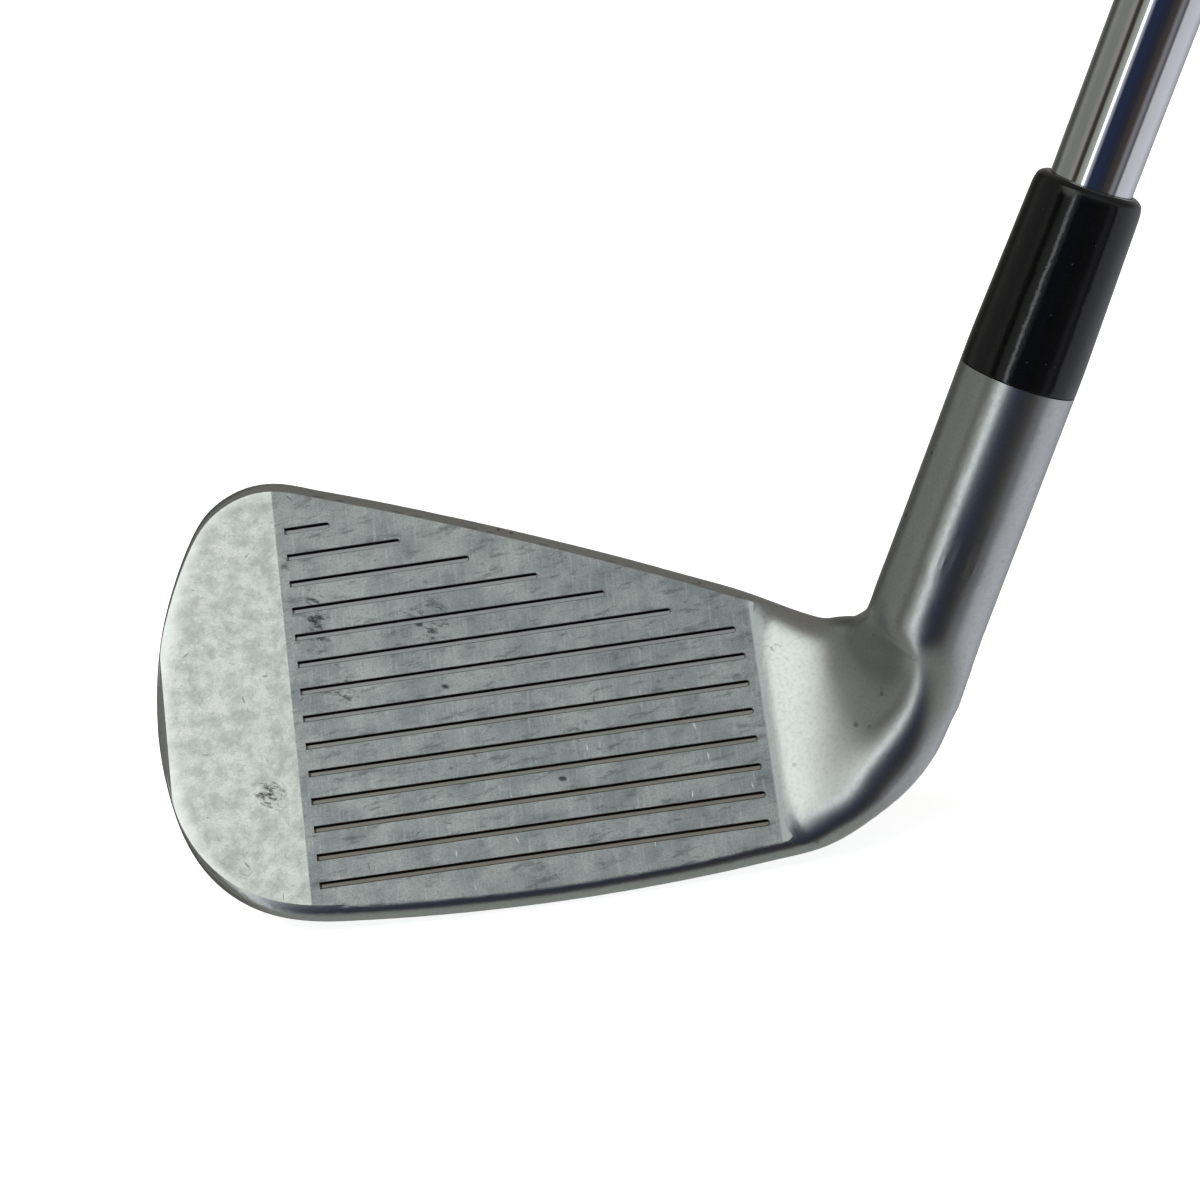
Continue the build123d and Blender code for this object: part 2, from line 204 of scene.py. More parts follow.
class Mat(Tree):
    def __init__(self, name):
        self.mat = bpy.data.materials.new(name)
        self.mat.use_nodes = True
        self.t = self.mat.node_tree
        self.t.nodes.clear()
        out = self.t.nodes.new("ShaderNodeOutputMaterial")
        self.bsdf = self.t.nodes.new("ShaderNodeBsdfPrincipled")
        self.link(self.bsdf.outputs[0], out.inputs[0])
        self.place = self.times(self.node("ShaderNodeTexCoord", output=3), (1000.0,) * 3)
        self.normal = self.node("ShaderNodeNewGeometry", output=1)
        self.along = self.dot(self.place, SHAFT_DIR)
        self.round = self.combine(self.dot(self.place, SIDE_DIR), self.dot(self.place, ACROSS), 0.0)

    def bump(self, height, strength, distance, normal=None):
        n = self.t.nodes.new("ShaderNodeBump")
        n.inputs["Strength"].default_value = strength
        n.inputs["Distance"].default_value = distance * MM
        self.put(n.inputs["Height"], height)
        self.put(n.inputs["Normal"], normal)
        return n.outputs[0]

    def scratches(self, flat, degrees, spacing, stretch, width, share):
        """Short thin lines in one direction: 1 on a line, a share of the cells having one."""
        turned = self.turn(flat, degrees)
        bent = self.plus(turned, self.times(self.noise(turned, 0.25, 1.0, 0.5, True), (0.0, 1.2, 0.0)))
        cells = self.times(bent, (1 / (spacing * stretch), 1 / spacing, 0.0))
        line = self.step(self.cells(cells, 1.0), width, width * 0.35)
        chosen = self.step(self.dot(self.cells(cells, 1.0, "Color"), (1, 0, 0)), 1 - share, 1.02 - share)
        return self.mul(line, chosen)

    def finish(self, color=None, rough=None, metal=None, normal=None, **fixed):
        color = color if color is None or isinstance(color, bpy.types.NodeSocket) else (*color, 1.0)
        self.put(self.bsdf.inputs["Base Color"], color)
        self.put(self.bsdf.inputs["Roughness"], rough)
        self.put(self.bsdf.inputs["Metallic"], metal)
        self.put(self.bsdf.inputs["Normal"], normal)
        for key, value in fixed.items():
            self.bsdf.inputs[key.replace("_", " ")].default_value = value
        return self.mat


# ------------------------------------------------------------------ materials
# dark rub marks on the face: u, v, half width, half height in mm, and strength
BALL_MARKS = (
    (-65.0, 15.5, 3.4, 3.2, 1.0), (-57.5, 36.0, 2.6, 9.0, 0.95), (-55.0, 27.0, 3.6, 4.5, 0.8),
    (-44.0, 34.0, 5.5, 6.0, 0.85), (-18.0, 27.6, 6.5, 3.0, 0.65), (-28.0, 17.0, 8.0, 6.0, 0.55),
    (-60.5, 43.0, 3.0, 4.0, 0.6), (-3.5, 24.5, 3.4, 1.4, 0.7), (-47.0, 15.0, 8.0, 5.0, 0.5),
    (-71.0, 41.0, 5.0, 5.0, 0.35), (-70.0, 8.0, 6.0, 5.0, 0.4))
# fine scratches: direction in degrees, spacing in mm, stretch, and share of cells that have one
SCRATCHES = (
    (12, 1.5, 5, 0.24), (52, 1.9, 5, 0.21), (-35, 1.7, 4, 0.21), (78, 1.6, 5, 0.18), (-66, 2.1, 5, 0.18))
FIRST_LINE = 3.7
LINE_PITCH = 3.39
TOE_LINE = -61.35
HEEL_LINE = -6.0


def head_material():
    m = Mat("head_steel")
    from_foot = m.minus(m.place, FACE_FOOT)
    u = m.dot(from_foot, (1, 0, 0))
    v = m.dot(from_foot, FACE_V)
    n = m.dot(from_foot, FACE_N)
    flat = m.combine(u, v)
    facing = m.step(m.dot(m.normal, FACE_N), 0.93, 0.985)
    level = m.mul(facing, m.step(n, -0.12, -0.03))
    toe_side = m.step(u, TOE_LINE, TOE_LINE - 0.25)
    heel_side = m.step(u, HEEL_LINE - 0.15, HEEL_LINE + 0.15)
    toe = m.mul(level, toe_side)
    blast = m.mul(m.step(n, -0.6, -0.5), m.step(m.dot(m.normal, FACE_N), 0.90, 0.97),
                  m.off(toe_side), m.off(heel_side))
    side_of_line = m.math("WRAP", m.add(v, -FIRST_LINE), LINE_PITCH / 2, -LINE_PITCH / 2)

    rim = None
    for centre, radius, a0, a1 in ARCS:
        q = m.minus(flat, (*centre, 0))
        a0, a1 = math.radians(a0), math.radians(a1)
        inside = m.mul(m.math("GREATER_THAN", m.dot(q, (-math.sin(a0), math.cos(a0), 0)), 0.0),
                       m.math("GREATER_THAN", m.dot(q, (math.sin(a1), -math.cos(a1), 0)), 0.0))
        gap = m.blend(inside, 99.0, m.math("SUBTRACT", float(radius), m.length(q)))
        rim = gap if rim is None else m.math("MINIMUM", rim, gap)

    groove = m.mul(m.step(n, -0.05, -0.12), m.step(n, -0.75, -0.6), m.step(u, -4.0, -5.0),
                   m.step(rim, 1.0, 1.3), m.step(v, 2.9, 3.1), m.step(u, -61.4, -61.2),
                   m.step(m.math("ABSOLUTE", side_of_line), 0.75, 0.60))

    # satin plating
    cloud = m.noise(m.place, 0.09, 4.0, 0.6)
    fine = m.noise(m.place, 2.4, 3.0, 0.65)
    satin = m.mix(cloud, (0.55, 0.57, 0.56), (0.68, 0.70, 0.69))
    satin = m.mix(m.mul(m.step(fine, 0.45, 0.7), 0.22), satin, (0.30, 0.31, 0.31))
    pits = m.mul(m.step(m.cells(m.place, 0.42), 0.17, 0.10), m.step(m.noise(m.place, 0.07), 0.5, 0.62))
    satin = m.mix(m.mul(pits, 0.65), satin, (0.10, 0.10, 0.10))
    satin_rough = m.add(0.24, m.mul(fine, 0.12))

    # blasted hitting area
    grit = m.noise(flat, 4.2, 3.0, 0.75)
    patch = m.noise(flat, 0.16, 6.0, 0.68)
    upright = m.noise(m.times(flat, (2.6, 0.16, 0)), 1.0, 4.0, 0.7)
    smear = m.noise(m.times(m.turn(flat, -8), (0.45, 1.5, 0)), 0.55, 6.0, 0.72)
    blasted = m.mix(m.step(patch, 0.34, 0.66), (0.33, 0.355, 0.365), (0.53, 0.56, 0.55))
    blasted = m.mix(m.mul(m.step(upright, 0.50, 0.72), 0.45), blasted, (0.72, 0.75, 0.75))
    blasted = m.mix(m.mul(m.step(grit, 0.44, 0.66), 0.45), blasted, (0.22, 0.235, 0.24))
    blasted = m.mix(m.mul(m.step(smear, 0.52, 0.66), 0.55), blasted, (0.13, 0.14, 0.145))

    # smooth toe, mottled by ball and turf wear, with a painted highlight along its outline
    fibre = None
    for degrees in (15, 75, -40):
        one = m.noise(m.times(m.turn(flat, degrees), (0.55, 2.4, 0)), 1.1, 4.0, 0.7)
        fibre = one if fibre is None else m.most(fibre, one)
    mottle = m.noise(flat, 0.42, 6.0, 0.72)
    bright = m.mix(m.step(mottle, 0.36, 0.66), (0.72, 0.74, 0.71), (0.50, 0.52, 0.495))
    bright = m.mix(m.mul(m.step(fibre, 0.56, 0.74), 0.6), bright, (0.30, 0.315, 0.30))
    bright = m.mix(m.mul(m.step(grit, 0.48, 0.68), 0.40), bright, (0.34, 0.355, 0.34))
    # painted highlight: a near-white band that fades in over the last 3 mm before the toe's outline
    bright = m.mix(m.mul(m.step(rim, 3.0, 0.4), 0.85), bright, (0.97, 0.98, 0.97))

    marks = None
    for degrees, spacing, stretch, share in SCRATCHES:
        one = m.scratches(flat, degrees, spacing, stretch, 0.085, share)
        marks = one if marks is None else m.most(marks, one)
    dings = m.scratches(flat, 22, 3.4, 1.6, 0.13, 0.20)
    chatter = m.mul(m.scratches(flat, 85, 1.1, 4.0, 0.13, 0.22), m.step(m.noise(flat, 0.05, 1.0), 0.46, 0.60))
    ball = m.noise(m.times(m.turn(flat, 28), (0.8, 1.9, 0)), 0.62, 6.0, 0.75)
    worn = 0.12
    for pu, pv, wide, tall, amount in BALL_MARKS:
        away = m.length(m.times(m.minus(flat, (pu, pv, 0)), (1 / wide, 1 / tall, 0)))
        worn = m.most(worn, m.mul(m.step(away, 1.0, 0.15), amount))
    ball = m.step(ball, m.add(0.66, m.mul(worn, -0.23)), m.add(0.76, m.mul(worn, -0.19)))
    ball = m.mul(ball, m.add(0.15, m.mul(worn, 0.8)))

    color = m.mix(toe, m.mix(blast, satin, blasted), bright)
    color = m.mix(m.mul(marks, level, 0.5), color, (0.09, 0.095, 0.095))
    color = m.mix(m.mul(dings, level, 0.85), color, (0.035, 0.037, 0.045))
    color = m.mix(m.mul(chatter, blast, 0.75), color, (0.95, 0.98, 0.98))
    color = m.mix(m.mul(ball, level), color, (0.045, 0.048, 0.052))
    # painted light and shade in the score lines: a lit band across each groove's floor and painted shade on
    # the walls above and below it, mixed with dark dirt; the lower grooves are browner
    lit = m.mul(m.step(side_of_line, 0.20, 0.12), m.step(side_of_line, -0.36, -0.27))
    groove_dirt_and_painted_shade = m.mix(m.step(v, 34.0, 6.0), (0.012, 0.013, 0.014), (0.020, 0.013, 0.008))
    painted_lit_floor_and_dirt = m.mix(m.step(v, 34.0, 4.0), (0.60, 0.62, 0.62), (0.42, 0.39, 0.34))
    color = m.mix(groove, color, m.mix(lit, groove_dirt_and_painted_shade, painted_lit_floor_and_dirt))

    rough = m.blend(blast, satin_rough, m.add(0.36, m.mul(grit, 0.16)))
    rough = m.blend(toe, rough, m.add(0.27, m.mul(mottle, 0.14)))
    rough = m.blend(groove, rough, 0.6)
    height = m.add(m.mul(grit, blast), m.mul(fine, 0.5), m.mul(marks, level, -1.2),
                   m.mul(dings, level, -2.5), m.mul(chatter, blast, -1.5))
    normal = m.bump(height, 0.30, 0.03)
    return m.finish(color, rough, 1.0, normal)


def chrome_material():
    m = Mat("shaft_chrome")
    haze = m.noise(m.place, 0.3, 4.0, 0.6)
    lengthwise = m.plus(m.times(m.round, (3.0, 3.0, 0)), m.combine(0.0, 0.0, m.mul(m.along, 0.05)))
    drawn = m.noise(lengthwise, 1.0, 4.0, 0.6)
    spots = m.mul(m.step(m.cells(m.place, 0.30), 0.14, 0.09), m.step(m.noise(m.place, 0.04), 0.5, 0.6))
    color = m.mix(haze, (0.86, 0.865, 0.87), (0.76, 0.765, 0.775))
    color = m.mix(m.mul(spots, 0.4), color, (0.25, 0.24, 0.22))
    rough = m.add(0.025, m.mul(drawn, 0.05), m.mul(spots, 0.2))
    return m.finish(color, rough, 1.0, m.bump(drawn, 0.08, 0.01))


def ferrule_material():
    m = Mat("ferrule")
    flat = m.combine(m.dot(m.place, ACROSS), m.along)
    scuff = m.scratches(flat, 70, 1.6, 4, 0.10, 0.12)
    wobble = m.noise(m.place, 0.55, 4.0, 0.55)
    grain = m.noise(m.place, 4.0, 3.0, 0.6)
    dust = m.mul(m.step(m.cells(m.place, 0.8), 0.12, 0.06), m.step(grain, 0.5, 0.6))
    color = m.mix(wobble, (0.0015, 0.0015, 0.0018), (0.003, 0.003, 0.0035))
    color = m.mix(m.mul(dust, 0.5), color, (0.06, 0.06, 0.06))
    rough = m.add(0.02, m.mul(wobble, 0.04), m.mul(scuff, 0.15))
    height = m.add(wobble, m.mul(grain, 0.10), m.mul(scuff, -0.12))
    return m.finish(color, rough, 0.0, m.bump(height, 0.35, 0.10), Specular_IOR_Level=0.5)


def rubber_material(name, base, worn):
    m = Mat(name)
    cloud = m.noise(m.place, 0.05, 4.0, 0.6)
    grain = m.noise(m.place, 3.0, 3.0, 0.7)
    dust = m.noise(m.place, 0.6, 5.0, 0.7)
    color = m.mix(m.step(cloud, 0.35, 0.7), base, worn)
    color = m.mix(m.mul(m.step(dust, 0.55, 0.75), 0.35), color, tuple(c * 3.0 for c in worn))
    color = m.mix(m.mul(m.step(grain, 0.5, 0.7), 0.3), color, tuple(c * 0.4 for c in base))
    rough = m.add(0.58, m.mul(grain, 0.25))
    normal = m.bump(m.add(grain, m.mul(dust, 0.5)), 0.4, 0.10)
    return m.finish(color, rough, 0.0, normal, Specular_IOR_Level=0.35)


def grained_material(name, base, other, rough, metal, scale, depth, turned):
    """Fine grain over a metal, film or resin; turned gives rings round the shaft's line."""
    m = Mat(name)
    place = m.combine(m.mul(m.along, 4.0), 0.0, 0.0) if turned else m.place
    grain = m.noise(place, scale, 4.0, 0.65)
    wear = m.noise(m.place, 0.5, 5.0, 0.7)
    color = m.mix(m.step(grain, 0.3, 0.7), base, other)
    color = m.mix(m.mul(m.step(wear, 0.52, 0.72), 0.3), color, tuple(c * 0.5 for c in base))
    return m.finish(color, m.add(rough, m.mul(grain, 0.12)), metal, m.bump(grain, 0.3, depth))


def band_material():
    m = Mat("band_film")
    grain = m.noise(m.place, 1.5, 4.0, 0.6)
    stripe = m.math("PINGPONG", m.add(m.along, -521.0), 18.0)
    edge = m.mul(m.step(stripe, 2.0, 2.05), m.step(stripe, 3.05, 3.0))
    thin = m.mul(m.step(stripe, 4.2, 4.25), m.step(stripe, 4.65, 4.6))
    color = m.mix(grain, (0.010, 0.014, 0.030), (0.018, 0.024, 0.050))
    color = m.mix(m.most(edge, m.mul(thin, 0.7)), color, (0.62, 0.64, 0.68))
    return m.finish(color, m.add(0.18, m.mul(grain, 0.15)), 0.0, m.bump(grain, 0.2, 0.02), Coat_Weight=0.5)


MATERIALS = {
    "head_steel": head_material(),
    "ferrule": ferrule_material(),
    "shaft_chrome": chrome_material(),
    "band_film": band_material(),
    "grip_rubber": rubber_material("grip_rubber", (0.013, 0.013, 0.014), (0.024, 0.024, 0.025)),
    "cap_rubber": rubber_material("cap_rubber", (0.011, 0.011, 0.012), (0.020, 0.020, 0.021)),
}
# name, colour, other colour, roughness, metallic, grain scale, grain depth in mm, turned
for row in (
    ("tungsten", (0.30, 0.30, 0.31), (0.44, 0.44, 0.45), 0.26, 1.0, 2.5, 0.02, False),
    ("badge_film", (0.02, 0.02, 0.02), (0.05, 0.05, 0.05), 0.6, 0.0, 2.0, 0.03, False),
    ("badge", (0.020, 0.021, 0.023), (0.045, 0.047, 0.05), 0.34, 0.3, 3.0, 0.03, False),
    ("epoxy", (0.40, 0.36, 0.28), (0.50, 0.46, 0.36), 0.4, 0.0, 1.0, 0.03, False),
    ("tip_brass", (0.60, 0.45, 0.20), (0.72, 0.57, 0.32), 0.3, 1.0, 0.6, 0.02, True),
    ("tape", (0.60, 0.56, 0.45), (0.72, 0.68, 0.56), 0.7, 0.0, 1.5, 0.05, False),
):
    MATERIALS[row[0]] = grained_material(*row)


# ------------------------------------------------------------------ pieces
def settle(name, mesh, node):
    """A new piece that stands for a CAD node, rides on the club and wears that node's material."""
    piece = bpy.data.objects.new(name, mesh)
    bpy.context.scene.collection.objects.link(piece)
    mesh.materials.clear()
    mesh.materials.append(MATERIALS[SLOT_OF[node]])
    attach(piece, "root")
    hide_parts(node)
    return piece


def smooth_shade(mesh, degrees):
    mesh.polygons.foreach_set("use_smooth", [True] * len(mesh.polygons))
    mesh.set_sharp_from_angle(angle=math.radians(degrees))


def weigh_normals(piece):
    modifier = piece.modifiers.new("weighted_normals", "WEIGHTED_NORMAL")
    modifier.mode = "FACE_AREA_WITH_ANGLE"
    modifier.weight = 50
    modifier.keep_sharp = True


def neighbours(a, b, size):
    """How many neighbours each point has, as a column, at least 1."""
    return np.maximum(np.bincount(a, minlength=size) + np.bincount(b, minlength=size), 1)[:, None]


def unit(rows):
    return rows / np.maximum(np.linalg.norm(rows, axis=1), 1e-9)[:, None]


def set_head_normals(mesh):
    """Smooth normals between sharp edges; flat faces keep their own, and the hitting face's rim is a
    crisp edge at the toe and topline but a soft one along the leading edge. In the neck the normals
    are evened out over a few millimetres."""
    faces = len(mesh.polygons)
    loops = np.empty(len(mesh.loops), dtype=np.int32)
    mesh.loops.foreach_get("vertex_index", loops)
    tris = loops.reshape(-1, 3)
    points = np.empty(len(mesh.vertices) * 3)
    mesh.vertices.foreach_get("co", points)
    points = points.reshape(-1, 3) * 1000
    cross = np.cross(points[tris[:, 1]] - points[tris[:, 0]], points[tris[:, 2]] - points[tris[:, 0]])
    area = np.linalg.norm(cross, axis=1)
    normal = cross / np.maximum(area, 1e-12)[:, None]
    corner = np.empty((faces, 3))
    for k in range(3):
        a = points[tris[:, (k + 1) % 3]] - points[tris[:, k]]
        b = points[tris[:, (k + 2) % 3]] - points[tris[:, k]]
        cos = (a * b).sum(1) / np.maximum(np.linalg.norm(a, axis=1) * np.linalg.norm(b, axis=1), 1e-12)
        corner[:, k] = np.arccos(np.clip(cos, -1, 1))
    middle = points[tris].mean(axis=1)
    from_foot = middle - np.array(FACE_FOOT)
    u, v = from_foot[:, 0], from_foot @ np.array(FACE_V)
    on_plane = (normal @ np.array(FACE_N) > 0.9995) & (np.abs(from_foot @ np.array(FACE_N)) < 0.02)
    normal[on_plane] = np.array(FACE_N)
    weight = np.where(on_plane, 400.0, 1.0) * (area > 1e-7)
    limit = np.where((v < 7) & (u > -58), 34.0, 13.0)
    limit = np.where(neck_share(middle / 1000) > 0.02, 50.0, limit)
    by_vertex = [[] for _ in range(len(points))]
    for f in range(faces):
        for k in range(3):
            by_vertex[tris[f, k]].append((f, k))
    custom = np.empty((faces, 3, 3))
    for ring in by_vertex:
        if not ring:
            continue
        f = np.array([r[0] for r in ring])
        k = np.array([r[1] for r in ring])
        n = normal[f]
        near = (n @ n.T) > np.cos(np.radians(np.minimum.outer(limit[f], limit[f])))
        w = weight[f] * corner[f, k]
        total = unit((near * w) @ n)
        total[on_plane[f]] = np.array(FACE_N)
        custom[f, k] = total
    share = neck_share(points / 1000)
    a, b = tris[:, (0, 1, 2)].ravel(), tris[:, (1, 2, 0)].ravel()
    count = neighbours(a, b, len(points))
    soft = np.zeros((len(points), 3))
    np.add.at(soft, tris.ravel(), custom.reshape(-1, 3))
    for _ in range(NECK_SOFT):
        soft = relax(unit(soft), a, b, count, 0.6, share[:, None])
    soft = unit(soft)
    pick = (share[tris] > 0.02) & ~on_plane[:, None]
    custom[pick] = soft[tris][pick]
    mesh.polygons.foreach_set("use_smooth", [True] * faces)
    mesh.normals_split_custom_set(custom.reshape(-1, 3).tolist())


def joined(node):
    """A bmesh of a CAD node with its faces joined."""
    bm = bmesh.new()
    bm.from_mesh(NODES[node].data)
    bmesh.ops.remove_doubles(bm, verts=bm.verts, dist=2e-6)
    bmesh.ops.dissolve_degenerate(bm, dist=1e-7, edges=bm.edges)
    return bm


def fresh_mesh(bm, name):
    bmesh.ops.triangulate(bm, faces=[f for f in bm.faces if len(f.verts) > 3])
    mesh = bpy.data.meshes.new(name)
    bm.to_mesh(mesh)
    bm.free()
    return mesh


def ramp01(value, low, high):
    t = np.clip((value - low) / (high - low), 0, 1)
    return t * t * (3 - 2 * t)


# the cove beside the face turns steadily: shift along the face's normal at each u, mm
COVE_U = (-6.0, -5.0, -4.2, -3.4, -2.6, -1.2, 0.2, 1.5, 2.9, 4.3, 5.6, 7.0, 8.2, 9.5)
COVE_SHIFT = (0.0, -0.02, -0.06, -0.12, -0.15, -0.06, 0.06, 0.20, 0.38, 0.45, 0.38, 0.22, 0.06, 0.0)
# longest edge in the divided neck, metres, and steps of evening out its normals
NECK_EDGE = 0.0009
NECK_SOFT = 60


def neck_share(points):
    """How far each point belongs to the blend between the blade and the hosel, 0 to 1."""
    p = points * 1000
    t = p @ np.array(SHAFT_DIR)
    off = np.linalg.norm(p - t[:, None] * np.array(SHAFT_DIR), axis=1)
    lift = (p - np.array(FACE_FOOT)) @ np.array(FACE_N)
    start = -1.5 - 4.2 * ramp01(lift, -0.6, 0.0)
    share = ramp01(p[:, 0], start, start + 3.5) * (1 - ramp01(t, 33.0, 39.0))
    return share * ((off > 5.2) | (t < 27.0))


def relax(points, a, b, count, pull, share):
    """One smoothing step: each point moves a share of the way to the middle of its neighbours."""
    size = len(points)
    columns = [np.bincount(a, points[b, c], size) + np.bincount(b, points[a, c], size) for c in range(3)]
    return points + pull * share * (np.stack(columns, axis=1) / count - points)


def in_neck(bm):
    """Whether each vertex belongs to the neck; the vertices' numbers are renewed first."""
    bm.verts.ensure_lookup_table()
    bm.verts.index_update()
    return neck_share(np.array([v.co for v in bm.verts])) > 0


def divide_neck(bm):
    """Divides the neck into small, well shaped triangles."""
    for _ in range(4):
        near = in_neck(bm)
        touching = [e for e in bm.edges if near[e.verts[0].index] or near[e.verts[1].index]]
        long = [e for e in touching if e.calc_length() > NECK_EDGE]
        bmesh.ops.subdivide_edges(bm, edges=long, cuts=1)
        bmesh.ops.triangulate(bm, faces=[f for f in bm.faces if len(f.verts) > 3])
    near = in_neck(bm)
    slim = [e for e in bm.edges if near[e.verts[0].index] and near[e.verts[1].index]]
    bmesh.ops.dissolve_degenerate(bm, dist=0.00008, edges=slim)
    bmesh.ops.triangulate(bm, faces=[f for f in bm.faces if len(f.verts) > 3])
    near = in_neck(bm)
    inner = [f for f in bm.faces if all(near[v.index] for v in f.verts)]
    edges = list(dict.fromkeys(e for f in inner for e in f.edges))
    bmesh.ops.beautify_fill(bm, faces=inner, edges=edges, method="ANGLE")


def melt_neck(bm):
    """Turns the cove steadily, takes the creases out of the neck and rounds the ridge beside the cove."""
    divide_neck(bm)
    bm.verts.ensure_lookup_table()
    bm.verts.index_update()
    points = np.array([v.co for v in bm.verts]) * 1000
    share = neck_share(points / 1000)[:, None]
    from_foot = points - np.array(FACE_FOOT)
    u, n = from_foot[:, 0], from_foot @ np.array(FACE_N)
    grid = np.linspace(-9, 13, 441)
    bell = np.hanning(41)
    curve = np.convolve(np.interp(grid, COVE_U, COVE_SHIFT), bell / bell.sum(), "same")
    swell = np.interp(u, grid, curve) * ramp01(n, -4.0, 0.0) * (share[:, 0] > 0)
    points = points + swell[:, None] * np.array(FACE_N)
    a, b = np.array([[e.verts[0].index, e.verts[1].index] for e in bm.edges]).T
    count = neighbours(a, b, len(points))
    for _ in range(90):
        points = relax(points, a, b, count, 0.55, share)
        points = relax(points, a, b, count, -0.56, share)
    zone = ramp01(u, 5.0, 8.0) * (1 - ramp01(u, 14.0, 16.5)) * ramp01(n, 1.0, 3.5)
    zone = zone * (1 - ramp01(points[:, 2], 23.0, 28.0))
    for _ in range(100):
        points = relax(points, a, b, count, 0.5, share * zone[:, None])
    tris = np.array([[v.index for v in f.verts] for f in bm.faces])
    for _ in range(40):
        sides = points[tris[:, 1]] - points[tris[:, 0]], points[tris[:, 2]] - points[tris[:, 0]]
        cross = np.cross(*sides)
        mean = np.zeros_like(points)
        np.add.at(mean, tris.ravel(), np.repeat(cross, 3, axis=0))
        mean = (mean / np.maximum(np.linalg.norm(mean, axis=1), 1e-12)[:, None])[tris].sum(1)
        least = 0.75 * np.linalg.norm(cross, axis=1) * np.linalg.norm(mean, axis=1) + 1e-4
        loose = np.zeros(len(points))
        loose[tris[(cross * mean).sum(1) < least]] = 1
        points = relax(points, a, b, count, 0.5, share * loose[:, None])
    for vert, point in zip(bm.verts, points):
        vert.co = point / 1000
    for face, turned in zip(list(bm.faces), (cross * mean).sum(1) < 0):
        if turned:
            face.normal_flip()


head = joined("head_body")
melt_neck(head)
head_mesh = fresh_mesh(head, "iron_head")
set_head_normals(head_mesh)
settle("iron_head", head_mesh, "head_body")

for node in ("toe_weight", "badge_tape", "cavity_badge", "tip_weight", "hosel_epoxy", "grip_tape"):
    mesh = fresh_mesh(joined(node), node + "_piece")
    smooth_shade(mesh, 30)
    piece = settle(node + "_piece", mesh, node)
    bevel = piece.modifiers.new("soft_edges", "BEVEL")
    bevel.width = 0.00006
    bevel.segments = 2
    bevel.limit_method = "ANGLE"
    bevel.angle_limit = math.radians(40)
    weigh_normals(piece)


def softened(corners):
    """Corners (t, r, radius of the rounding) to points, mm."""
    points = []
    for i, (t, r, soft) in enumerate(corners):
        here = Vector((t, r))
        before = Vector(corners[i - 1][:2]) - here
        after = Vector(corners[(i + 1) % len(corners)][:2]) - here
        if soft == 0:
            points.append((t, r))
            continue
        reach = min(soft, 0.45 * before.length, 0.45 * after.length)
        a = here + before.normalized() * reach
        b = here + after.normalized() * reach
        for k in range(6):
            s = k / 5
            q = a * (1 - s) ** 2 + here * 2 * s * (1 - s) + b * s * s
            points.append((q.x, q.y))
    return points


def lathe(name, points, segments, relief=None):
    """Turns a closed outline of (t, r) in mm round the shaft's line; relief(t, angles, r) adds to r."""
    angles = 2 * np.pi * np.arange(segments) / segments
    rings = []
    for t, r in points:
        radius = np.full(segments, r)
        if relief is not None:
            radius = radius + relief(t, angles, r)
        spokes = np.cos(angles)[:, None] * np.array(SIDE_DIR) + np.sin(angles)[:, None] * np.array(ACROSS)
        rings.append(t * np.array(SHAFT_DIR) + radius[:, None] * spokes)
    verts = np.concatenate(rings) * MM
    rows = len(points)
    faces = []
    for i in range(rows):
        j = (i + 1) % rows
        for k in range(segments):
            q = (k + 1) % segments
            faces.append((i * segments + k, i * segments + q, j * segments + q, j * segments + k))
    mesh = bpy.data.meshes.new(name)
    mesh.from_pydata(verts.tolist(), [], faces)
    bm = bmesh.new()
    bm.from_mesh(mesh)
    bmesh.ops.recalc_face_normals(bm, faces=bm.faces)
    bm.to_mesh(mesh)
    bm.free()
    smooth_shade(mesh, 35)
    return mesh


# ------------------------------------------------------------------ turned pieces on the shaft's line
BUTT_R = 7.62
STEPS = 15


def tip_radius(t):
    return (9.02 + 0.0075 * (t - 28.8)) / 2


def shaft_corners():
    corners = [(28.8, tip_radius(28.8)), (180.0, tip_radius(180.0))]
    rise = (BUTT_R - tip_radius(180.0)) / STEPS
    for k in range(STEPS):
        t = 205.0 + 44.45 * k
        corners.append((t, tip_radius(180.0) + rise * k))
        corners.append((t + 1.2, tip_radius(180.0) + rise * (k + 1)))
    corners.append((936.2, BUTT_R))
    return corners


def shaft_radius(t):
    corners = shaft_corners()
    for (t0, r0), (t1, r1) in zip(corners, corners[1:]):
        if t <= t1:
            return r0 + (r1 - r0) * (t - t0) / (t1 - t0)
    return BUTT_R


outside = [(t, r, 0.35) for t, r in shaft_corners()]
inside = [(t, r - 0.48, 0) for t, r in reversed(shaft_corners())]
settle("stepped_shaft", lathe("stepped_shaft", softened(outside + inside), 144), "shaft")

low, top = 60.55, 83.4
ferrule = [(low, shaft_radius(low) + 0.03, 0.1), (low, 6.75, 0.18), (low + 3, 6.75, 1.5),
           (top - 1.5, 6.25, 1.0), (top - 0.45, 6.02, 0.5), (top, 5.35, 0.4),
           (top, shaft_radius(top) + 0.03, 0.15)]
settle("ferrule_collar", lathe("ferrule_collar", softened(ferrule), 144), "ferrule")

BAND_LOW, BAND_TOP = 521.0, 557.0
stepped = [(t, r) for t, r in shaft_corners() if BAND_LOW < t < BAND_TOP]
band = [(BAND_LOW, shaft_radius(BAND_LOW) + 0.02, 0), (BAND_LOW, shaft_radius(BAND_LOW) + 0.12, 0.05)]
band += [(t, r + 0.12, 0.05) for t, r in stepped]
band += [(BAND_TOP, shaft_radius(BAND_TOP) + 0.12, 0.05), (BAND_TOP, shaft_radius(BAND_TOP) + 0.02, 0)]
band += [(t, r + 0.02, 0) for t, r in reversed(stepped)]
settle("shaft_band_film", lathe("shaft_band_film", softened(band), 144), "shaft_band")

